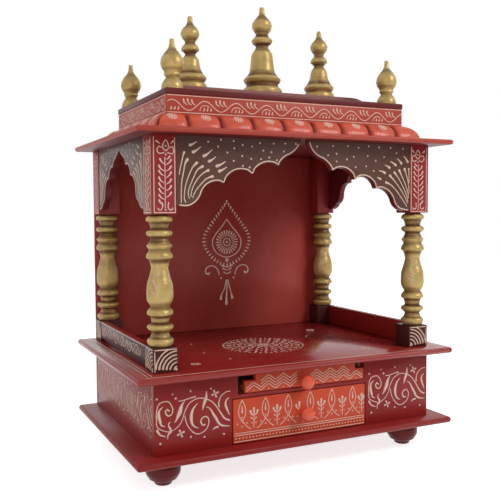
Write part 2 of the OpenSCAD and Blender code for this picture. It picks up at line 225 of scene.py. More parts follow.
def recessed(name, colour, deep, along, rough, metal, deep_metal, coat=0.0):
    """Paint darkened in the hollows by the piece's own hollow attribute, with darker patches at random. On the
    cushion moulding the hollow darkening is painted shade in the grooves; on the gold it darkens the turned
    recesses.
    """
    mat, net, bsdf = new_material(name)
    place = net.add("ShaderNodeTexCoord").outputs["Object"]
    hollow = net.add("ShaderNodeAttribute", attribute_name="hollow").outputs["Fac"]
    blotch = net.noise(place, 55.0, 4.0, 0.65)
    # painted shade on the cushion grooves and darker turned recesses on the gold: the hollow attribute,
    # blotched, plus random darker patches
    stain_and_shade = net.math("MULTIPLY", hollow, net.ramp(blotch, 0.25, 0.7, 0.75, 1.35), True)
    patch = net.ramp(net.noise(place, 42.0, 5.0, 0.65), 0.48, 0.75, 0.0, 0.42)
    stain_and_shade = net.math("ADD", stain_and_shade, patch, True)
    g = net.add("ShaderNodeGroup", node_tree=BRUSH)
    worn = tuple(min(1.0, c * 1.25 + 0.02) for c in colour)
    for k, v in (("Along", ALONG[along]), ("Colour", (*colour, 1)), ("Worn colour", (*worn, 1)),
                 ("Unevenness", 0.7), ("Roughness", rough)):
        g.inputs[k].default_value = v
    net.tree.links.new(place, g.inputs["Place"])
    net.tree.links.new(net.mix(stain_and_shade, g.outputs["Colour"], (*deep, 1)), bsdf.inputs["Base Color"])
    net.tree.links.new(net.math("ADD", g.outputs["Roughness"], net.math("MULTIPLY", stain_and_shade, 0.15)),
                       bsdf.inputs["Roughness"])
    net.tree.links.new(net.ramp(stain_and_shade, 0.0, 1.0, metal, deep_metal), bsdf.inputs["Metallic"])
    bsdf.inputs["Coat Weight"].default_value = coat
    bsdf.inputs["Specular IOR Level"].default_value = 0.35
    finish_bump(net, bsdf, g.outputs["Height"], 0.0002)
    return mat


def bare_wood(name, along):
    mat, net, bsdf = new_material(name)
    place = net.add("ShaderNodeTexCoord").outputs["Object"]
    g = net.add("ShaderNodeGroup", node_tree=GRAIN)
    for k, v in (("Along", ALONG[along]), ("Light", (0.52, 0.33, 0.17, 1)),
                 ("Dark", (0.3, 0.16, 0.07, 1))):
        g.inputs[k].default_value = v
    net.tree.links.new(place, g.inputs["Place"])
    net.tree.links.new(g.outputs["Colour"], bsdf.inputs["Base Color"])
    net.tree.links.new(net.ramp(g.outputs["Height"], 0, 1, 0.5, 0.7), bsdf.inputs["Roughness"])
    finish_bump(net, bsdf, g.outputs["Height"], 0.0002)
    return mat


MAROON, MAROON_WORN = (0.255, 0.013, 0.012), (0.325, 0.032, 0.028)
paints = {
    "deck": enamel("deck_maroon", (0.31, 0.020, 0.017), (0.40, 0.045, 0.036), "x", 0.22, 0.3),
    "maroon": enamel("maroon_enamel", MAROON, MAROON_WORN, "x", 0.33),
    "maroon_y": enamel("maroon_enamel_side", MAROON, MAROON_WORN, "y", 0.33),
    "back": enamel("back_brick", (0.37, 0.036, 0.028), (0.52, 0.11, 0.082), "z", 0.34, 0.0, 0.8, 0.00004),
    "post": enamel("post_crimson", (0.285, 0.022, 0.024), (0.36, 0.045, 0.045), "z", 0.33),
    "low": enamel("block_dark", (0.060, 0.012, 0.010), (0.10, 0.028, 0.024), "z", 0.33),
    "top": enamel("top_oxblood", (0.125, 0.015, 0.016), (0.18, 0.036, 0.038), "x", 0.4),
    # partly painted reflection: a pale dusty pink for the pale strip along the roof's top, which is largely a
    # reflection
    "tier": enamel("tier_pale_painted_reflection", (0.26, 0.075, 0.068), (0.38, 0.16, 0.15), "x", 0.45),
    # painted shade: the feet take a darker copy of the maroon, for part of the shadow under the base
    "foot": enamel("foot_maroon_painted_shade", (0.15, 0.010, 0.011), (0.20, 0.018, 0.018), "z", 0.34),
    "orange": enamel("vermilion", (0.58, 0.064, 0.026), (0.68, 0.12, 0.055), "x", 0.36),
    "eave": enamel("eave_brick", (0.42, 0.052, 0.032), (0.52, 0.095, 0.068), "x", 0.36),
    "frieze": enamel("frieze_brick", (0.41, 0.048, 0.028), (0.52, 0.10, 0.070), "x", 0.38),
    "frieze_y": enamel("frieze_brick_side", (0.41, 0.048, 0.028), (0.52, 0.10, 0.070), "y", 0.38),
    "brown": enamel("arch_umber", (0.088, 0.037, 0.027), (0.155, 0.078, 0.060), "x", 0.34, 0.0, 0.9),
    "brown_y": enamel("arch_umber_side", (0.082, 0.036, 0.030), (0.145, 0.076, 0.066), "y", 0.34,
                      0.0, 0.9),
    "edge": enamel("arch_cut_edge", (0.14, 0.016, 0.016), (0.2, 0.03, 0.03), "x", 0.4),
    # painted shade: a dark maroon for faces turned into the shrine, standing in for the shade under the roof
    "shade": enamel("inner_painted_shade", (0.13, 0.010, 0.010), (0.19, 0.02, 0.018), "x", 0.4),
    "gold": recessed("antique_gold", (0.52, 0.36, 0.125), (0.12, 0.042, 0.008), "z", 0.38, 0.35, 0.1),
    "cushion": recessed("cushion_vermilion", (0.60, 0.076, 0.028), (0.16, 0.012, 0.006), "x", 0.46,
                        0.0, 0.0, 0.15),
    "knob": recessed("knob_vermilion", (0.72, 0.090, 0.036), (0.30, 0.022, 0.01), "y", 0.3, 0.0,
                     0.0, 0.3),
    "cream": enamel("cream_relief", (0.76, 0.52, 0.40), (0.84, 0.66, 0.54), "x", 0.42, 0.05, 0.8,
                    0.00005),
    # painted light: a lighter copy of the cream relief, so that the back panel's ornament in the shade under
    # the roof reads as bright as the lit ornament
    "cream_painted_light": enamel("cream_relief_painted_light", (0.98, 0.74, 0.60), (1.0, 0.84, 0.72), "x",
                           0.42, 0.05, 0.8, 0.00005),
    "wood": bare_wood("bare_wood_across", "x"),
    "wood_y": bare_wood("bare_wood_along", "y"),
}


# ---------------------------------------------------------------- modelling helpers
def rest():
    if bpy.context.object and bpy.context.object.mode != "OBJECT":
        bpy.ops.object.mode_set(mode="OBJECT")
    bpy.ops.object.select_all(action="DESELECT")


def take(ob):
    rest()
    ob.select_set(True)
    bpy.context.view_layer.objects.active = ob


def edit(ob, *steps):
    """Runs edit-mode steps on the whole piece."""
    take(ob)
    bpy.ops.object.mode_set(mode="EDIT")
    bpy.ops.mesh.select_all(action="SELECT")
    for op, args in steps:
        op(**args)
    bpy.ops.object.mode_set(mode="OBJECT")


def smooth(ob, degrees):
    take(ob)
    bpy.ops.object.shade_smooth_by_angle(angle=math.radians(degrees))


def settle(ob, node, paint, stands_for=True):
    """Gives a finished piece its body and paint, and hides the frame node it stands for."""
    if paint:
        ob.data.materials.clear()
        ob.data.materials.append(paints[paint])
    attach(ob, body_of[node])
    if stands_for:
        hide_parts(node)
    return ob


def eased(node, paint, width=1.0, edge_paint=None, face_axis=None, segments=2):
    """The board from the frame with its sharp arrises taken off, as sandpaper does."""
    ob = bpy.data.objects.new(node + "_board", nodes[node].data.copy())
    bpy.context.scene.collection.objects.link(ob)
    edit(ob, (bpy.ops.mesh.remove_doubles, {"threshold": 0.00002}),
         (bpy.ops.mesh.dissolve_limited, {"angle_limit": math.radians(1)}))
    if width:
        take(ob)
        mod = ob.modifiers.new("ease", "BEVEL")
        mod.width, mod.segments, mod.limit_method = width * MM, segments, "ANGLE"
        mod.angle_limit = math.radians(28)
        bpy.ops.object.modifier_apply(modifier=mod.name)
    smooth(ob, 32)
    settle(ob, node, paint)
    if edge_paint:
        ob.data.materials.append(paints[edge_paint])
        for p in ob.data.polygons:
            if abs(p.normal[face_axis]) < 0.9:
                p.material_index = 1
    return ob


# ---- turned work: the frame's own profile, drawn smooth and spun ----
def profile_of(node, axis):
    """Solids of a turned node: centre of each, and one profile of (radius, height)."""
    lo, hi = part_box(node)
    flat = [i for i in range(3) if i != axis]
    pts = {tuple(round(c, 5) for c in v.co) for v in nodes[node].data.vertices}
    base = (lo if axis == 2 else hi)[axis]
    foot = [p for p in pts if abs(p[axis] - base) < 2e-5]
    centres = []
    for p in foot:
        for c in centres:
            if math.hypot(p[flat[0]] - c[0][0], p[flat[1]] - c[0][1]) < 0.08:
                c.append((p[flat[0]], p[flat[1]]))
                break
        else:
            centres.append([(p[flat[0]], p[flat[1]])])
    mids = [tuple((min(q[k] for q in c) + max(q[k] for q in c)) / 2 for k in (0, 1))
            for c in centres]
    rows = {}
    for p in pts:
        d = math.hypot(p[flat[0]] - mids[0][0], p[flat[1]] - mids[0][1])
        if d < 0.045:
            h = round(abs(p[axis] - base), 4)
            rows[h] = max(rows.get(h, 0), d)
    line = [(r, h) for h, r in sorted(rows.items())]
    return mids, base, line


def drawn_smooth(line, steps):
    """A Catmull-Rom line through the profile, kept sharp where it turns hard."""
    out = []
    n = len(line)
    for i in range(n - 1):
        p1, p2 = Vector(line[i]), Vector(line[i + 1])
        p0 = Vector(line[i - 1]) if i else p1
        p3 = Vector(line[i + 2]) if i + 2 < n else p2

        def hard(a, b, c):
            u, v = b - a, c - b
            return u.length < 1e-6 or v.length < 1e-6 or u.angle(v) > math.radians(62)
        m1 = (p2 - p1) if hard(p0, p1, p2) else (p2 - p0) * 0.5
        m2 = (p2 - p1) if hard(p1, p2, p3) else (p3 - p1) * 0.5
        limit = (p2 - p1).length * 1.4
        for m in (m1, m2):
            if m.length > limit:
                m *= limit / m.length
        for k in range(steps):
            t = k / steps
            h1, h2 = 2 * t**3 - 3 * t**2 + 1, t**3 - 2 * t**2 + t
            h3, h4 = -2 * t**3 + 3 * t**2, t**3 - t**2
            q = h1 * p1 + h2 * m1 + h3 * p2 + h4 * m2
            out.append((max(q[0], 0.0002), q[1]))
    out.append(line[-1])
    return out


def turned(node, paint, axis=2, steps=3, turns=56, reach=0.012, gain=260, smooth_at=50):
    mids, base, line = profile_of(node, axis)
    curve = [(0.0, line[0][1])] + drawn_smooth(line, steps) + [(0.0, line[-1][1])]
    sign = 1 if axis == 2 else -1

    def hollow_at(h):
        here = [r for r, q in curve if abs(q - h) < reach]
        near = min(curve, key=lambda c: abs(c[1] - h))[0]
        top = sorted(here)[int(len(here) * 0.8)]
        return max(0.0, min(1.0, (top - near - 0.0012) * gain))
    flat = [i for i in range(3) if i != axis]

    def at(r, h):
        v = Vector((0, 0, 0))
        v[flat[0]], v[flat[1]], v[axis] = mids[0][0] + r, mids[0][1], base + sign * h
        return v
    rest()
    bpy.ops.mesh.primitive_plane_add(size=0.001, location=at(*curve[0]))
    first = bpy.context.object
    first.name = f"{node}_turned_1" if len(mids) > 1 else f"{node}_turned"
    bpy.ops.object.transform_apply(location=True, rotation=True, scale=True)
    bpy.ops.object.mode_set(mode="EDIT")
    bpy.ops.mesh.select_all(action="SELECT")
    bpy.ops.mesh.merge(type="CENTER")
    for p, q in zip(curve, curve[1:]):
        bpy.ops.mesh.extrude_region_move(TRANSFORM_OT_translate={"value": at(*q) - at(*p)})
    bpy.ops.object.mode_set(mode="OBJECT")
    direction = [0, 0, 0]
    direction[axis] = 1
    edit(first, (bpy.ops.mesh.spin, {"steps": turns, "angle": 2 * math.pi, "center": at(0, 0),
                                     "axis": direction}),
         (bpy.ops.mesh.select_all, {"action": "SELECT"}),
         (bpy.ops.mesh.remove_doubles, {"threshold": 0.00001}),
         (bpy.ops.mesh.normals_make_consistent, {"inside": False}))
    table = {}
    shade = first.data.attributes.new("hollow", "FLOAT", "POINT")
    for v in first.data.vertices:
        h = round(abs(v.co[axis] - base), 5)
        if h not in table:
            table[h] = hollow_at(h)
        shade.data[v.index].value = table[h]
    smooth(first, smooth_at)
    settle(first, node, paint)
    for k, mid in enumerate(mids[1:], 2):
        move = Vector((0, 0, 0))
        move[flat[0]], move[flat[1]] = mid[0] - mids[0][0], mid[1] - mids[0][1]
        copy = bpy.data.objects.new(f"{node}_turned_{k}", first.data.copy())
        bpy.context.scene.collection.objects.link(copy)
        copy.data.transform(Matrix.Translation(move))
        settle(copy, node, paint)
    return mids, curve


# ---- relief lines: squeezed from a cone on the painted board ----
def flow(points, gap):
    """Even points on a smooth line through the given ones, with how far along each is."""
    if len(points) == 2:
        fine = [Vector(points[0]).lerp(Vector(points[1]), k / 12) for k in range(13)]
    else:
        fine = []
        for i in range(len(points) - 1):
            p1, p2 = Vector(points[i]), Vector(points[i + 1])
            p0 = Vector(points[i - 1]) if i else p1 * 2 - p2
            p3 = Vector(points[i + 2]) if i + 2 < len(points) else p2 * 2 - p1
            for k in range(8):
                t = k / 8
                fine.append(0.5 * (2 * p1 + (p2 - p0) * t + (2 * p0 - 5 * p1 + 4 * p2 - p3) * t * t
                                   + (3 * p1 - p0 - 3 * p2 + p3) * t**3))
        fine.append(Vector(points[-1]))
    run = [0.0]
    for a, b in zip(fine, fine[1:]):
        run.append(run[-1] + (b - a).length)
    return fine, run


def stroke(points, *width, gap=None):
    """One stroke: points in millimetres, half widths spread evenly along it."""
    fine, run = flow(points, gap)
    total = run[-1]
    first, last = width[0], width[-1]
    gap = gap or max(1.6, total / 26)
    n = max(2, round((total - first * 0.8 - last * 0.8) / gap))
    marks = [0.0, first * 0.25, first * 0.8]
    marks += [first * 0.8 + (total - 0.8 * first - 0.8 * last) * k / n for k in range(1, n)]
    marks += [total - last * 0.8, total - last * 0.25, total]
    out, j = [], 0
    for s in marks:
        s = max(0.0, min(total, s))
        while j < len(run) - 2 and run[j + 1] < s:
            j += 1
        span = run[j + 1] - run[j]
        p = fine[j].lerp(fine[j + 1], (s - run[j]) / span if span > 0 else 0)
        w = s / total * (len(width) - 1) if len(width) > 1 else 0
        i = min(int(w), max(len(width) - 2, 0))
        r = width[i] if len(width) == 1 else width[i] + (width[i + 1] - width[i]) * (w - i)
        near = min(s / first if first else 1, (total - s) / last if last else 1, 1.0)
        cap = math.sqrt(max(0.0, 1 - (1 - near) ** 2))
        out.append((p[0], p[1], max(r * cap, 0.05)))
    return out


def dot(x, y, r):
    return [(x - r * c, y, max(r * math.sqrt(1 - c * c), 0.05)) for c in (1, 0.8, 0.3, -0.3, -0.8, -1)]


def drop(head, tail, r, bend=0.0, thin=0.3, middle=0.62):
    """A comma: a round head that thins to a tail, bent to its left by a share of its length."""
    h, t = Vector(head), Vector(tail)
    mid = (h + t) / 2 + Vector((h - t).yx) * Vector((-1, 1)) * bend if bend else (h + t) / 2
    return stroke([h, mid, t], r, r * middle, r * thin, gap=max(1.2, (h - t).length / 6))


def ring(x, y, radius, r, start=0, sweep=360, squash=1.0):
    n = max(4, int(abs(sweep) / 30))
    return stroke([(x + radius * math.cos(math.radians(start + sweep * k / n)),
                    y + radius * squash * math.sin(math.radians(start + sweep * k / n)))
                   for k in range(n + 1)], r)


def petals(x, y, inner, outer, count, r, turn=0.0, squash=1.0):
    out = []
    for k in range(count):
        a = math.radians(turn + 360 * k / count)
        c, s = math.cos(a), math.sin(a) * squash
        out.append(drop((x + outer * c, y + outer * s), (x + inner * c, y + inner * s), r))
    return out


def shifted(strokes, dx=0.0, dy=0.0, sx=1.0, sy=1.0, sr=1.0):
    return [[(x * sx + dx, y * sy + dy, r * sr) for x, y, r in s] for s in strokes]


def relief(name, node, strokes, origin, right, up, height=0.4, bend=None, paint="cream"):
    """Draws the strokes as one curve on a face, flattens them and fixes them to the face."""
    rest()
    bpy.ops.curve.primitive_nurbs_path_add()
    ob = bpy.context.object
    ob.name = name
    cu = ob.data
    cu.splines.clear()
    cu.dimensions, cu.twist_mode = "3D", "Z_UP"
    cu.bevel_depth, cu.bevel_resolution, cu.use_fill_caps = MM, 1, True
    for s in strokes:
        sp = cu.splines.new("POLY")
        sp.points.add(len(s) - 1)
        for q, (x, y, r) in zip(sp.points, s):
            q.co, q.radius = (x * MM, y * MM, 0, 1), r
    take(ob)
    bpy.ops.object.convert(target="MESH")
    ob = bpy.context.object
    normal = right.cross(up)
    place = Matrix((right, up, normal)).transposed().to_4x4()
    place.translation = Vector(origin)
    flat = Matrix.Diagonal((1, 1, height, 1))
    if bend:
        ob.data.transform(flat)
        for v in ob.data.vertices:
            v.co = bend(v.co)
    else:
        ob.data.transform(place @ flat)
    ob.data.update()
    for p in ob.data.polygons:
        p.use_smooth = True
    return settle(ob, node, paint, stands_for=False)


def face(node, side):
    """Lower left corner, right and up of a board's outer face, and its size in millimetres."""
    lo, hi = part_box(node)
    frames = {"front": (Vector((lo.x, lo.y, lo.z)), X, Z, hi.x - lo.x),
              "rear": (Vector((hi.x, hi.y, lo.z)), -X, Z, hi.x - lo.x),
              "left": (Vector((lo.x, hi.y, lo.z)), -Y, Z, hi.y - lo.y),
              "right": (Vector((hi.x, lo.y, lo.z)), Y, Z, hi.y - lo.y)}
    o, r, u, w = frames[side]
    return o, r, u, w / MM, (hi.z - lo.z) / MM


camera()


# ---------------------------------------------------------------- boards
boards = {"base_front": ("maroon", 1.0), "base_left": ("maroon_y", 1.0),
          "base_right": ("maroon_y", 1.0), "base_back": ("maroon", 1.0),
          "back_panel": ("back", 0.8), "upper_blocks": ("post", 1.0), "lower_blocks": ("low", 1.0),
          "rail_left": ("maroon_y", 0.8), "rail_right": ("maroon_y", 0.8),
          "frieze_front": ("frieze", 0.6), "frieze_rear": ("frieze", 0.6),
          "frieze_sides": ("frieze_y", 0.6), "top_board": ("top", 1.6), "roof_tier": ("tier", 1.2),
          "drawer_front": ("orange", 1.0), "tray_front": ("orange", 1.0)}
for n, (paint, width) in boards.items():
    eased(n, paint, width)
for n, axis, paint in (("arch_front_left", 1, "brown"), ("arch_front_right", 1, "brown"),
                       ("arch_left", 0, "brown_y"), ("arch_right", 0, "brown_y")):
    eased(n, paint, 0.8, "edge", axis)
for n in ("rail_left", "rail_right"):
    rail = bpy.data.objects[n + "_board"]
    rail.data.materials.append(paints["low"])
    for p in rail.data.polygons:
        if p.normal.x * (-1 if n == "rail_left" else 1) > 0.5:
            p.material_index = 1
for n, paint in (("base_plate", "maroon"), ("deck_board", "deck"), ("eave_board", "eave")):
    eased(n, paint, 0)
# painted shade: the eave's underside and the arches' inner faces take the dark inner maroon, for the shade
# under the roof
for ob in [o for o in bpy.data.objects if o.name in ("eave_board_board", "arch_left_board",
                                                     "arch_right_board", "arch_front_left_board",
                                                     "arch_front_right_board")]:
    inward = {"eave_board_board": -Z, "arch_left_board": X, "arch_right_board": -X}.get(ob.name, Y)
    ob.data.materials.append(paints["shade"])
    for p in ob.data.polygons:
        if p.normal.dot(inward) > 0.9:
            p.material_index = len(ob.data.materials) - 1
for n, paint in (("divider_shelf", "wood"), ("drawer_guides", "wood_y"), ("tray_guides", "wood_y"),
                 ("drawer_box", "wood_y"), ("drawer_bottom", "wood"), ("tray_board", "wood")):
    for s in nodes[n].material_slots:
        s.material = paints[paint]


# ---------------------------------------------------------------- cushion moulding
EAVE_TOP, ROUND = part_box("moulding_front")[0].z, 0.0275


def cushion_row(node, wall, mid, across, along, inner, count):
    """A quarter-round strip, cut into swelling cushions and mitred at both ends."""
    rest()
    bpy.ops.mesh.primitive_grid_add(x_subdivisions=count * 18, y_subdivisions=12, size=2)
    ob = bpy.context.object
    ob.name = node + "_cushions"
    outer = inner / 2 + ROUND
    pitch = 2 * outer / count
    shade = ob.data.attributes.new("hollow", "FLOAT", "POINT")
    for v in ob.data.vertices:
        s, turn = v.co.x * outer, (v.co.y + 1) / 4 * math.pi
        u = abs(2 * ((s / pitch + count / 2) % 1.0) - 1)
        radius = ROUND - 0.0014 * u**2 - 0.0052 * u**10
        # painted shade: darkens the grooves between cushions, strongest at the top where the round meets the
        # frieze
        shade.data[v.index].value = max(0.0, min(1.0, (u - 0.80) / 0.17)) * (0.55 + 0.45 * math.cos(turn))
        out, rise = radius * math.sin(turn), radius * math.cos(turn)
        keep = outer - pitch
        if abs(s) > keep:
            s = math.copysign(keep + (abs(s) - keep) * (inner / 2 + out - keep) / pitch, s)
        v.co = wall + mid + across * out + along * s + Z * rise
    edit(ob, (bpy.ops.mesh.select_all, {"action": "DESELECT"}),
         (bpy.ops.mesh.select_mode, {"type": "VERT"}),
         (bpy.ops.mesh.select_non_manifold, {}),
         (bpy.ops.mesh.extrude_region_move, {}))
    for v in ob.data.vertices:
        if v.select:
            s = max(-inner / 2, min(inner / 2, (v.co - wall - mid).dot(along)))
            v.co = wall + mid + along * s
    edit(ob, (bpy.ops.mesh.remove_doubles, {"threshold": 0.00001}),
         (bpy.ops.mesh.normals_make_consistent, {"inside": False}))
    smooth(ob, 50)
    settle(ob, node, "cushion")


f_lo, f_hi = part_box("frieze_front")[0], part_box("frieze_rear")[1]
f_mid = Vector(((f_lo.x + f_hi.x) / 2, (f_lo.y + f_hi.y) / 2, 0))
floor_z = Vector((0, 0, EAVE_TOP))
cushion_row("moulding_front", Vector((0, f_lo.y, EAVE_TOP)), X * f_mid.x, -Y, X, f_hi.x - f_lo.x, 9)
cushion_row("moulding_rear", Vector((0, f_hi.y, EAVE_TOP)), X * f_mid.x, Y, -X, f_hi.x - f_lo.x, 9)
cushion_row("moulding_left", Vector((f_lo.x, 0, EAVE_TOP)), Y * f_mid.y, -X, -Y, f_hi.y - f_lo.y, 6)
cushion_row("moulding_right", Vector((f_hi.x, 0, EAVE_TOP)), Y * f_mid.y, X, Y, f_hi.y - f_lo.y, 6)

# ---------------------------------------------------------------- turned work
turned("feet", "foot", reach=0.01, gain=120)
post_mids, post_line = turned("balusters", "gold", reach=0.008, gain=230)
turned("corner_finials", "gold", reach=0.006, gain=280)
turned("side_finials", "gold", reach=0.008, gain=230)
turned("centre_finial", "gold", reach=0.008, gain=230)
turned("drawer_knob", "knob", axis=1, reach=0.006, gain=0)
turned("tray_knob", "knob", axis=1, reach=0.006, gain=0)


# ---------------------------------------------------------------- ornament: base
def leaf(points, widest):
    """A leaf laid on in one stroke, thickest where the tip is pressed."""
    n = len(points)
    w = [0.5 + (widest - 0.5) * max(0, math.sin(math.pi * (i + 0.1) / (n - 0.8))) ** 1.6
         for i in range(n)]
    return stroke(points, *w)


def star(x, y, r):
    return petals(x, y, 0.5, r, 4, 2.5, 20)


def vine():
    line = 0.9
    s = [stroke(p, 0.75, line, line, 1.5) for p in (
        [(30, 32), (24, 31), (13, 35), (5, 41), (4, 51), (4, 62), (6, 73), (10, 78), (17, 80),
         (24, 79), (28, 74), (31, 66), (30, 60), (26, 56), (22, 57), (19, 61), (19, 66), (22, 67),
         (25, 66), (25, 63)],
        [(30, 32), (39, 37), (46, 46), (50, 58), (53, 64), (58, 72), (67, 77), (75, 79), (85, 77),
         (94, 73), (102, 66), (109, 56), (114, 48), (120, 40), (129, 36)],
        [(51, 54), (53, 43), (58, 33), (66, 24), (74, 21), (81, 23), (88, 28), (92, 37), (91, 44),
         (87, 48), (82, 47), (78, 43), (79, 37), (82, 34), (86, 35)],
        [(130, 84), (124, 84), (119, 82), (112, 76), (109, 66), (110, 60)],
        [(40, 78), (46, 78), (53, 79), (62, 81), (70, 82)])]
    s += [leaf([(51, 77), (46, 71), (44, 65), (42, 59), (39, 53), (36, 47), (33, 45)], 3.9),
          leaf([(15, 72), (10, 68), (8, 64), (8, 57), (10, 49), (12, 43), (18, 40)], 2.7),
          leaf([(73, 71), (66, 64), (62, 54), (62, 43), (65, 36), (70, 32), (74, 31)], 2.9),
          leaf([(87, 63), (91, 62), (96, 57), (99, 51), (104, 43), (109, 34), (116, 29), (129, 27)],
               2.4),
          leaf([(127, 74), (122, 69), (121, 63), (123, 57), (128, 45)], 2.2),
          leaf([(88, 89), (88, 84), (87, 77), (84, 70), (81, 59)], 3.0),
          leaf([(22, 19), (23, 27), (28, 32), (24, 40), (24, 44), (27, 47)], 1.9),
          drop((4, 37), (19, 24), 2.3, 0.15), drop((109, 28), (98, 24), 2.2, 0.15)]
    s += star(44, 26, 7) + star(103, 83, 7)
    s += [dot(5, 85, 1.9), dot(36, 83, 2.1), dot(31, 90, 1.6), dot(61, 92, 1.8), dot(96, 92, 1.7),
          dot(61, 18, 1.8), dot(84, 15, 1.8), dot(118, 15, 2.0), dot(10, 14, 2.0)]
    return s


def border(w, h, inset=2.6, r=0.8, sides="tb"):
    lines = {"t": [(2, h - inset), (w - 2, h - inset)], "b": [(2, inset), (w - 2, inset)],
             "l": [(inset, 2), (inset, h - 2)], "r": [(w - inset, 2), (w - inset, h - 2)]}
    return [stroke(lines[k], r, gap=12) for k in sides]


base_lo, base_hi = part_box("base_front")
front_vines = shifted(vine(), 0, 6) + shifted(vine(), (0.131 - base_lo.x) / MM, 6)
relief("vine_front", "base_front", front_vines, (base_lo.x, base_lo.y, base_lo.z), X, Z)
side_vines = [s for k in range(3) for s in shifted(vine(), 2 + 115 * k, 14, 0.9, 0.9, 0.6)]
for side in ("left", "right"):
    o, r, u, w, h = face("base_" + side, side)
    if side == "right":
        o = o - Y * 0.012
    relief("vine_" + side, "base_" + side, side_vines, o, r, u)


# ---------------------------------------------------------------- ornament: drawer and tray
def drawer_lines():
    """A row of tall buds with three-petalled flowers between, over looped stems."""
    s = []
    buds = [16, 59, 102, 145, 188, 231]
    for x in buds:
        for k in (-1, 1):
            s.append(stroke([(x, 71), (x + 4.5 * k, 62), (x + 6.5 * k, 52), (x + 4 * k, 42),
                             (x - 1 * k, 35), (x - 9 * k, 26), (x - 16 * k, 21),
                             (x - 21.5 * k, 21)][:7 if 8 < x - 16 * k < 250 else 5], 0.75))
            s.append(dot(x + 8.5 * k, 32, 1.4))
        s += [drop((x, 49), (x, 62), 1.9), dot(x, 27, 1.5), dot(x, 42, 1.3)]
    for x in [37.5, 80.5, 123.5, 166.5, 209.5, 250]:
        wide = 7 if x < 250 else 4
        s += [drop((x, 57), (x, 44), 2.9), drop((x - 7, 53), (x - 0.8, 43), 2.5, 0.15),
              drop((x + wide, 53), (x + 0.8, 43), 2.5, -0.15), stroke([(x, 44), (x, 22)], 0.75)]
        s += [dot(x - 3.5, 31, 1.3), dot(x + 3.5, 31, 1.3), drop((x - 6, 41), (x - 1, 36), 1.4),
              drop((x + 5, 41), (x + 1, 36), 1.4)]
    s += [stroke([(2, 13), (255, 13)], 0.75, gap=14), stroke([(2, 2.6), (255, 2.6)], 0.75, gap=14),
          stroke([(2, 16.5), (255, 16.5)], 0.6, gap=14)]
    s += [dot(5 + 6.2 * k, 7.8, 1.4) for k in range(41)]
    return [t for t in s if all(math.hypot(p[0] - 130.5, p[1] - 36.7) > 9 for p in t)
            or min(p[1] for p in t) < 18]


o, r, u, w, h = face("drawer_front", "front")
relief("buds_drawer", "drawer_front", drawer_lines(), o, r, u)


def tray_lines():
    """Four zigzag lines one above the other, stopped short of the tray's stepped ends."""
    s = []
    for lift in (2.5, 7.5, 12.5, 17.5):
        for start, end in ((2, 98), (123, 230)):
            n = round((end - start) / 13.5)
            pts = [(start + (end - start) * k / n, lift + (9.5 if k % 2 else 0))
                   for k in range(n + 1)]
            for p, q in zip(pts, pts[1:]):
                low_end = min(p[0], q[0]) < 21 or max(p[0], q[0]) > 214
                if max(p[1], q[1]) < (18.5 if low_end else 28):
                    s.append(stroke([p, q], 0.8, gap=5))
    s += [dot(x, 3.5, 1.2) for x in (15.7, 43.2, 70.6, 136.4, 163.1, 189.9, 216.6)]
    return s


o, r, u, w, h = face("tray_front", "front")
relief("zigzag_tray", "tray_front", tray_lines(), o, r, u)


# ---------------------------------------------------------------- ornament: posts
def post_leaves(flip=False):
    s = [stroke([(4.5, 2), (4.5, 119)], 0.8, gap=12), stroke([(38.5, 2), (38.5, 119)], 0.8, gap=12),
         stroke([(4.5, 2.5), (38.5, 2.5)], 0.8, gap=12), stroke([(22.5, 8), (22.5, 88)], 0.7, gap=8)]
    s += [drop(a, b, 1.75, 0.12) for a, b in (
        ((14, 86), (22, 77)), ((12, 76), (22, 66)), ((12, 68), (21, 59)), ((12, 58), (21, 48)),
        ((12, 49), (21, 39)), ((12, 40), (21, 31)), ((12, 31), (21, 23)), ((12, 23), (20, 14)))]
    s += [drop(a, b, 1.75, -0.12) for a, b in (
        ((31, 90), (24, 84)), ((33, 85), (24, 76)), ((33, 75), (24, 66)), ((33, 66), (24, 56)),
        ((33, 55), (24, 46)), ((33, 45), (24, 36)), ((33, 35), (24, 26)))]
    s += [stroke([(24, 97), (19.5, 102), (20, 108), (24, 114), (28, 108), (28.5, 102), (24, 97)], 0.9),
          stroke([(22, 95), (14, 93), (10, 98), (13, 104), (18, 102)], 0.9),
          stroke([(26, 95), (34, 93), (37, 98), (34.5, 104), (30, 102)], 0.9),
          dot(24, 92, 1.6), dot(24, 105, 1.5), drop((8, 113), (15, 108), 1.8), drop((37, 114), (32, 108), 1.8),
          stroke([(10, 10), (12, 7), (16, 7), (18, 12), (17, 19)], 0.9),
          stroke([(35, 10), (33, 7), (29, 7), (27, 12), (28, 19)], 0.9), dot(22.8, 6.5, 1.4)]
    return shifted(s, 41, 0, -1, 1) if flip else s


def quarter_rays():
    s = [stroke([(2, 36.5), (39, 36.5)], 0.9, gap=10), stroke([(2.6, 2), (2.6, 34)], 0.8, gap=10)]
    for radius in (37, 31, 25, 19, 13):
        pts = [(40 - radius * math.cos(math.radians(a)), 2.5 + radius * math.sin(math.radians(a)))
               for a in (5, 24, 46, 64 if radius > 35 else 68, 66 if radius > 35 else 88)]
        s.append(stroke(pts, 2.2, 1.4, 1.2, 1.1, 1.1))
    s += [stroke([(34, 3), (34.5, 6), (36.5, 8), (39.5, 8.6)], 1.2), dot(37.5, 4.2, 2.3)]
    return s


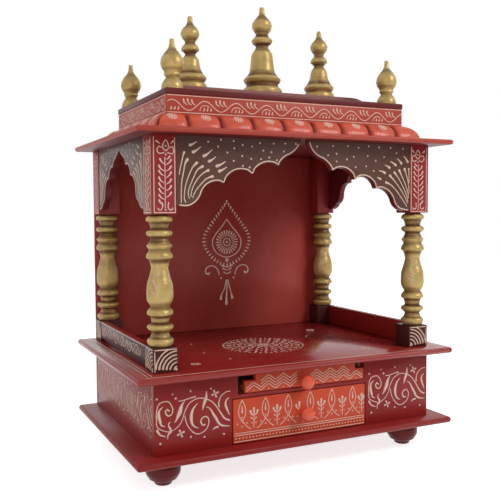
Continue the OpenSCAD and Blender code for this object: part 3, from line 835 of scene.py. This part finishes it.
b_lo, b_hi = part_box("upper_blocks")
w_lo, w_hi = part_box("lower_blocks")
POST = 0.041
for part, lo, hi, art in (("upper", b_lo, b_hi, post_leaves()), ("lower", w_lo, w_hi, quarter_rays())):
    node = part + "_blocks"
    sides = {"front_left": (Vector((lo.x, lo.y, lo.z)), X, 0),
             "front_right": (Vector((hi.x - POST, lo.y, lo.z)), X, 1),
             "left_front": (Vector((lo.x, lo.y + POST, lo.z)), -Y, 0),
             "right_front": (Vector((hi.x, lo.y, lo.z)), Y, 1),
             "left_rear": (Vector((lo.x, hi.y - 0.0, lo.z)), -Y, 1),
             "right_rear": (Vector((hi.x, hi.y - 0.037, lo.z)), Y, 0)}
    for where, (o, r, mirror) in sides.items():
        lines = shifted(art, 41, 0, -1, 1) if mirror else art
        if "rear" in where:
            lines = shifted(lines, 0, 0, 0.9, 1)
        relief(f"{part}_block_{where}", node, lines, o, r, Z)


# ---------------------------------------------------------------- ornament: arches
def lower_rim(node, axis, value):
    """The sawn outline of an arch board's face, without its straight top and end."""
    other = 1 - axis
    count = {}
    me = nodes[node].data
    for p in me.polygons:
        vs = [me.vertices[i].co for i in p.vertices]
        if all(abs(v[axis] - value) < 2e-5 for v in vs):
            ks = [(round(v[other], 4), round(v.z, 4)) for v in vs]
            for a, b in zip(ks, ks[1:] + ks[:1]):
                e = (min(a, b), max(a, b))
                count[e] = count.get(e, 0) + 1
    lo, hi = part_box(node)
    edges = [e for e, c in count.items() if c == 1 and e[0] != e[1]]
    edges = [e for e in edges if not (e[0][1] > hi.z - 1e-3 and e[1][1] > hi.z - 1e-3)
             and abs(e[0][0] - e[1][0]) > 1e-4]
    pts = sorted({q for e in edges for q in e})
    return [(x / MM, z / MM) for x, z in pts]


def inset_line(pts, d):
    out = []
    for i, p in enumerate(pts):
        a, b = Vector(pts[max(i - 1, 0)]), Vector(pts[min(i + 1, len(pts) - 1)])
        t = (b - a).normalized()
        out.append((p[0] - t.y * d, p[1] + t.x * d))
    return out


def sparse(pts, gap):
    out = [pts[0]]
    for p in pts[1:-1]:
        if math.hypot(p[0] - out[-1][0], p[1] - out[-1][1]) > gap:
            out.append(p)
    return out + [pts[-1]]


RIBS_LEFT = [
    [(5, -62), (6, -55), (8, -47), (11, -34), (14, -25)],
    [(8, -106), (8, -89), (9, -73), (12, -58), (15, -44), (20, -36)],
    [(16, -105), (13, -99), (14, -85), (17, -73), (22, -60), (28, -49), (36, -41)],
    [(22, -99), (20, -94), (20, -87), (24, -76), (30, -63), (36, -53), (46, -47)],
    [(25, -96), (24, -93), (26, -85), (30, -76), (37, -66), (46, -58), (56, -53)],
    [(27, -98), (28, -95), (30, -90), (34, -84), (42, -75), (51, -67), (63, -63)]]
TEARS_LEFT = [((21, -16), (35, -9)), ((26, -27), (42, -17)), ((44, -33), (61, -21)),
              ((53, -41), (67, -32)), ((66, -48), (84, -39)), ((70, -56), (86, -48))]
DOTS_LEFT = [(54, -9), (76, -5), (98, -6), (71, -16), (99, -18), (87, -25), (114, -12), (131, -14),
             (145, -8), (113, -30), (129, -34), (151, -20), (147, -34), (170, -8), (166, -22),
             (162, -31), (192, -7), (189, -20), (176, -35), (212, -7), (98, -38), (114, -46),
             (126, -48)]
RIBS_RIGHT = [
    [(-6, -112), (-13, -103), (-22, -92), (-33, -80), (-44, -72), (-55, -68)],
    [(-5, -106), (-13, -91), (-24, -77), (-35, -65), (-46, -55)],
    [(-4, -103), (-8, -90), (-16, -75), (-26, -60), (-36, -49)],
    [(-3, -97), (-5, -85), (-11, -70), (-18, -57), (-25, -45)],
    [(-2, -89), (-2, -80), (-4, -67), (-8, -54), (-13, -42)],
    [(-2, -70), (-2, -55), (-3, -42)]]
TEARS_RIGHT = [((-63, -64), (-72, -60)), ((-53, -53), (-68, -48)), ((-43, -44), (-55, -38)),
               ((-30, -39), (-44, -31)), ((-18, -36), (-29, -25)), ((-4, -33), (-14, -21))]
DOTS_RIGHT = [(-195, -10), (-163, -8), (-133, -7), (-111, -9), (-90, -6), (-68, -7), (-43, -7),
              (-16, -8), (-173, -24), (-156, -21), (-121, -25), (-92, -23), (-57, -24), (-30, -16),
              (-135, -30), (-156, -34), (-75, -31), (-117, -43), (-95, -41), (-79, -49)]


def fan(ribs, tears, dots):
    s = [stroke(p, 0.8, 0.85, 0.9, 0.9, 0.95, 1.0, 1.3, 3.1) for p in ribs]
    s += [drop(a, b, 3.3, 0.05, 0.2, 0.45) for a, b in tears]
    return s + [dot(x, y, 1.75) for x, y in dots]


for node, origin_x, parts in (("arch_front_left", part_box("arch_front_left")[0].x,
                               (RIBS_LEFT, TEARS_LEFT, DOTS_LEFT)),
                              ("arch_front_right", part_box("arch_front_right")[1].x,
                               (RIBS_RIGHT, TEARS_RIGHT, DOTS_RIGHT))):
    lo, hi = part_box(node)
    rim = lower_rim(node, 1, lo.y)
    shape = fan(*parts)
    rim_at = dict(rim)

    def above(x, z):
        near = min(rim, key=lambda q: abs(q[0] - x))
        return z > near[1] + 4.5
    shape = [s for s in shape if all(above(p[0] + origin_x / MM, p[1] + hi.z / MM) for p in s)]
    edge = [(x - origin_x / MM, z - hi.z / MM) for x, z in sparse(inset_line(rim, 2.4), 3.0)]
    edge = [q for q in edge if lo.x / MM + 2 < q[0] + origin_x / MM < hi.x / MM - 2
            and q[1] < -3]
    shape.append(stroke(edge, 1.1, gap=2.2))
    relief("fan_" + node, node, shape, (origin_x, lo.y, hi.z), X, Z)

for node, side in (("arch_left", 0), ("arch_right", 1)):
    lo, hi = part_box(node)
    value = hi.x if side else lo.x
    rim = lower_rim(node, 0, value)
    run = Y if side else -Y
    start = lo.y if side else hi.y

    def local(q):
        d = q[0] - start / MM
        return (d if side else -d, q[1] - lo.z / MM)
    inner = sparse(inset_line(rim, 2.6), 3.0)
    edge = [local(q) for q in inner if lo.y / MM + 2 < q[0] < hi.y / MM - 2]
    height, width = (hi.z - lo.z) / MM, (hi.y - lo.y) / MM
    shape = [stroke(edge, 0.95, gap=2.4)]
    for flip in (0, 1):
        part = [stroke(p, 0.9, 1.0, 1.2, 2.3) for p in RIBS_LEFT]
        part += [drop(a, b, 2.2, 0.1) for a, b in TEARS_LEFT[:5]]
        part += [dot(x, y, 1.9) for x, y in DOTS_LEFT if x < 135]
        shape += shifted(part, width if flip else 0, height, -1 if flip else 1, 1)
    rim_local = [local(q) for q in rim]

    def above(x, z):
        near = min(rim_local, key=lambda q: abs(q[0] - x))
        return z > near[1] + 4.5
    shape = shape[:1] + [s for s in shape[1:] if all(above(p[0], p[1]) for p in s)]
    relief("fan_" + node, node, shape, (value, start, lo.z), run, Z)


# ---------------------------------------------------------------- ornament: frieze, cushions
def frieze_wave(length):
    s = [stroke([(1.5, 29), (length - 1.5, 29)], 0.75, gap=16),
         stroke([(1.5, 2), (length - 1.5, 2)], 0.75, gap=16)]
    wave, n = [], int(length / 7)
    for k in range(n + 1):
        x = 2 + (length - 4) * k / n
        wave.append((x, 14 + 8.0 * math.cos(2 * math.pi * (x - 9.9) / 56)))
    s.append(stroke(wave, 0.8, gap=3.5))
    k = 0
    while 9.9 + 56 * k < length:
        crest, trough = 9.9 + 56 * k, 37.9 + 56 * k
        for dx, top in ((-7, 24.5), (0, 25.5), (7, 24)):
            if 5 < trough + dx < length - 8:
                s.append(drop((trough + dx - 2, top), (trough + dx + 5, 14.5), 1.8, 0.2))
        if 12 < crest < length - 12:
            s.append(stroke([(crest - 9, 6), (crest - 7, 12), (crest, 15), (crest + 8, 13)], 0.7))
        for dx in (-3, 3, 9):
            if 5 < crest + dx < length - 5:
                s.append(drop((crest + dx, 6), (crest + dx + 1.5, 12), 1.7, 0.2))
        k += 1
    return s


lo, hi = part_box("frieze_front")
LIFT = Z * (EAVE_TOP + ROUND)
length = (hi.x - lo.x) / MM
depth = (f_hi.y - f_lo.y) / MM
for name, node, o, r, w in (
        ("wave_front", "frieze_front", Vector((f_lo.x, f_lo.y, 0)), X, length),
        ("wave_rear", "frieze_rear", Vector((f_hi.x, f_hi.y, 0)), -X, length),
        ("wave_left", "frieze_sides", Vector((f_lo.x, f_hi.y, 0)), -Y, depth),
        ("wave_right", "frieze_sides", Vector((f_hi.x, f_lo.y, 0)), Y, depth)):
    relief(name, node, frieze_wave(w), o + LIFT, r, Z)


def small_flower(r, count=8):
    s = petals(0, 0, r * 0.35, r, count, r * 0.22)
    return s + petals(0, 0, r * 0.1, r * 0.5, 5, r * 0.18, 20) + [dot(0, 0, r * 0.2)]


for name, wall, across, along, inner, count, skip in (
        ("front", Vector((f_mid.x, f_lo.y, EAVE_TOP)), -Y, X, f_hi.x - f_lo.x, 9, 8),
        ("rear", Vector((f_mid.x, f_hi.y, EAVE_TOP)), Y, -X, f_hi.x - f_lo.x, 9, 8),
        ("left", Vector((f_lo.x, f_mid.y, EAVE_TOP)), -X, -Y, f_hi.y - f_lo.y, 6, 9),
        ("right", Vector((f_hi.x, f_mid.y, EAVE_TOP)), X, Y, f_hi.y - f_lo.y, 6, 9)):
    pitch = (inner + 2 * ROUND) / count
    shape = []
    for k in range(count):
        if k != skip:
            shape += shifted(small_flower(9.0, 10), (k + 0.55) * pitch / MM, 0)

    def onto(co, wall=wall, across=across, along=along, inner=inner):
        turn = math.radians(38) - co.y / ROUND
        s = co.x - inner / 2 - ROUND
        u = abs(2 * ((co.x / (inner + 2 * ROUND) * count) % 1.0) - 1)
        radius = ROUND - 0.0014 * u**2 + co.z - 0.0001
        return wall + along * s + across * (radius * math.sin(turn)) + Z * (radius * math.cos(turn))
    relief("flowers_" + name, "moulding_" + name, shape, (0, 0, 0), along, Z, bend=onto)


# ---------------------------------------------------------------- ornament: rails and deck
def scroll_band(length):
    s = [stroke([(2, 37), (length - 2, 37)], 0.9, gap=16)]
    k, pitch = 0, 42
    while k * pitch + 38 < length:
        x = 6 + k * pitch
        up = 1 if k % 2 else -1
        mid = 23
        s.append(stroke([(x, mid - 8 * up), (x + 8, mid + 2 * up), (x + 18, mid + 9 * up),
                         (x + 28, mid + 4 * up), (x + 28, mid - 5 * up), (x + 20, mid - 6 * up),
                         (x + 18, mid), (x + 23, mid + 2 * up)], 1.0))
        s += [drop((x + 34, mid - 7 * up), (x + 40, mid + 6 * up), 2.0, 0.2),
              drop((x + 8, mid - 8 * up), (x + 15, mid - 1 * up), 1.8, 0.2), dot(x + 4, mid + 8 * up, 1.7)]
        k += 1
    return s


for side in ("left", "right"):
    o, r, u, w, h = face("rail_" + side, side)
    relief("scroll_rail_" + side, "rail_" + side, scroll_band(w), o, r, u)

deck_lo, deck_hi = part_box("deck_board")


def mandala():
    s = petals(0, 0, 3, 11, 8, 2.3) + [dot(0, 0, 2.4)]
    s += [ring(0, 0, 15, 0.8)]
    s += petals(0, 0, 18, 30, 12, 2.8, 15)
    s += [dot(35 * math.cos(a), 35 * math.sin(a), 1.9)
          for a in (math.radians(15 * k) for k in range(24))]
    s += petals(0, 0, 39, 50, 18, 2.8, 10)
    s += [dot(55 * math.cos(a), 55 * math.sin(a), 1.9)
          for a in (math.radians(10 * k) for k in range(36))]
    s += petals(0, 0, 59, 70, 24, 2.7, 7.5)
    s += [dot(75 * math.cos(a), 75 * math.sin(a), 2.0)
          for a in (math.radians(7.5 * k) for k in range(48))]
    return s


deck_art = shifted(mandala(), -2, -29)
for x, y in ((-178, -133), (150, -142), (165, 82), (-165, 82)):
    deck_art += shifted(petals(0, 0, 2.5, 9, 8, 2.0) + [dot(0, 0, 2.0)], x, y)
for x, y in ((-110, -120), (60, -125), (-120, 40), (120, 20), (100, -75), (-130, -50)):
    deck_art.append(dot(x, y, 2.2))
front_y = deck_lo.y / MM + 9
deck_art.append(stroke([(-285, front_y), (285, front_y)], 0.8, gap=30))
for s in (-1, 1):
    for x in (272, 279):
        deck_art.append(stroke([(s * x, -190), (s * x, 182)], 0.7, gap=30))
relief("mandala_deck", "deck_board", deck_art, (0, 0, deck_hi.z), X, Y, 0.35)


# ---------------------------------------------------------------- ornament: back panel
def beads(points, count, r, closed=False):
    fine, run = flow(points, None)
    out, j = [], 0
    for k in range(count):
        d = run[-1] * k / (count if closed else count - 1)
        while j < len(run) - 2 and run[j + 1] < d:
            j += 1
        span = run[j + 1] - run[j]
        out.append(fine[j].lerp(fine[j + 1], (d - run[j]) / span if span else 0))
    return out


def lamp_flower():
    outer = [(0, 87), (14, 68), (34, 42), (48, 22), (53, 7), (49, -12), (36, -30), (20, -42),
             (0, -49), (-20, -42), (-36, -30), (-49, -12), (-53, 7), (-48, 22), (-34, 42),
             (-14, 68), (0, 87)]
    s = []
    centre = Vector((0, 5))
    for p in beads(outer, 46, 2.2, True):
        out = (p - centre).normalized()
        s.append(drop(p + out * 3.5, p - out * 4.5, 2.1))
    inner = [(0, 50), (10, 36), (24, 20), (33, 5), (31, -12), (20, -25), (0, -32), (-20, -25),
             (-31, -12), (-33, 5), (-24, 20), (-10, 36), (0, 50)]
    s.append(stroke(inner, 1.0, gap=4))
    s += petals(0, 0.5, 12, 26, 24, 1.5)
    s += [ring(0, 0.5, 8, 0.9), dot(0, 0.5, 2.6), dot(0, -38, 4.2)]
    for z, half in ((-52, 13), (-58, 11), (-66, 9)):
        s.append(stroke([(-half, z + 3), (-half * 0.5, z), (0, z - 1.2), (half * 0.5, z), (half, z + 3)],
                        2.1, 1.1, 1.0, 1.1, 2.1))
    s += [dot(-14, -76.5, 2.2), dot(15, -76.5, 2.2)]
    s += [stroke([(-2, -80), (-6, -98), (-13, -112), (-15, -124)], 0.9, 1.0, 1.0, 3.0),
          stroke([(2, -80), (6, -98), (10, -112), (12, -123)], 0.9, 1.0, 1.0, 3.0),
          stroke([(0, -80), (-1, -104), (-2, -120), (-2, -136)], 0.9, 1.1, 1.6, 3.2)]
    for k in (-1, 1):
        s += [stroke([(k * 18, -70), (k * 22, -58), (k * 30, -51), (k * 41, -50), (k * 49, -56),
                      (k * 49, -64), (k * 43, -67), (k * 40, -63)], 1.0, 1.1, 1.1, 1.1, 2.2)]
    return s


back_lo, back_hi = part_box("back_panel")
# the flame takes the lighter cream copy: painted light against the shade under the roof
relief("flame_back", "back_panel", shifted(lamp_flower(), sr=1.2), (0.020, back_lo.y, 0.374), X, Z,
       paint="cream_painted_light")

# ---------------------------------------------------------------- ornament: turned posts
post_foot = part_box("balusters")[0].z


def post_radius(h):
    for (r0, h0), (r1, h1) in zip(post_line, post_line[1:]):
        if h0 <= h <= h1 and h1 > h0:
            return r0 + (r1 - r0) * (h - h0) / (h1 - h0)
    return post_line[0][0]


def belly_scroll(x):
    """A climbing tendril with curled leaves, drawn on the swelling of a post."""
    s = [stroke([(x, 78), (x + 3.5, 86), (x + 1, 96), (x - 3.5, 104), (x - 2, 114), (x + 2.5, 122),
                 (x + 1, 131)], 0.5)]
    for k, z in enumerate((84, 93, 102, 111, 120)):
        turn = 1 if k % 2 else -1
        s.append(drop((x + 6.5 * turn, z + 3), (x + 1 * turn, z - 1.5), 1.2, 0.2 * turn))
        s.append(dot(x - 5 * turn, z, 0.9))
    return s


for k, mid in enumerate(post_mids):
    def wrapped(co, mid=mid):
        radius = post_radius(co.y) + co.z
        turn = co.x / 0.019
        return Vector((mid[0] + radius * math.cos(turn), mid[1] + radius * math.sin(turn),
                       post_foot + co.y))
    lines = [s for a in range(4) for s in belly_scroll(19 * math.radians(50 + 90 * a))]
    relief(f"tendril_post_{k + 1}", "balusters", lines, (0, 0, 0), X, Z, bend=wrapped)

# ---------------------------------------------------------------- stage, lamps, world
rest()
bpy.ops.mesh.primitive_grid_add(x_subdivisions=8, y_subdivisions=8, size=9, location=(0, 0, 0))
ground = bpy.context.object
ground.name = "floor_sheet"
mat, net, bsdf = new_material("floor_white")
place = net.add("ShaderNodeTexCoord").outputs["Object"]
tone = net.ramp(net.noise(place, 3.0), 0.3, 0.7, 0.0, 1.0)
net.tree.links.new(net.mix(tone, (0.80, 0.80, 0.80, 1), (0.83, 0.83, 0.83, 1)),
                   bsdf.inputs["Base Color"])
bsdf.inputs["Roughness"].default_value = 0.7
path = net.add("ShaderNodeLightPath")
white = net.math("MAXIMUM", net.math("MAXIMUM", path.outputs["Is Camera Ray"],
                                     path.outputs["Is Glossy Ray"]),
                 path.outputs["Is Transmission Ray"])
net.tree.links.new(net.mix(white, (0, 0, 0, 1), (0.75, 0.75, 0.75, 1)),
                   bsdf.inputs["Emission Color"])
bsdf.inputs["Emission Strength"].default_value = 1.0
ground.data.materials.append(mat)

world = bpy.data.worlds.new("studio")
bpy.context.scene.world = world
world.use_nodes = True
net = Net(world.node_tree)
back = world.node_tree.nodes["Background"]
path = net.add("ShaderNodeLightPath")
white = net.math("MAXIMUM", net.math("MAXIMUM", path.outputs["Is Camera Ray"],
                                     path.outputs["Is Glossy Ray"]),
                 path.outputs["Is Transmission Ray"])
way = net.add("ShaderNodeTexCoord").outputs["Generated"]
front = net.add("ShaderNodeVectorMath", {0: way, 1: (0.25, -0.97, 0)},
                operation="DOT_PRODUCT").outputs["Value"]
room = net.ramp(front, 0.15, 0.7, 1.0, 0.3)
seen = net.math("MAXIMUM", path.outputs["Is Camera Ray"], room)
net.tree.links.new(net.math("MULTIPLY", net.ramp(white, 0, 1, 0.62, 1.0), seen),
                   back.inputs["Strength"])
back.inputs["Color"].default_value = (1, 1, 1, 1)

lamp("key_lamp", (1.5, -2.0, 2.1), (0, 0, 0.35), 1.0, 40)
lamp("fill_lamp", (-1.4, -2.4, 1.2), (0, 0, 0.4), 1.8, 12)
bpy.context.scene.view_settings.view_transform = "Standard"
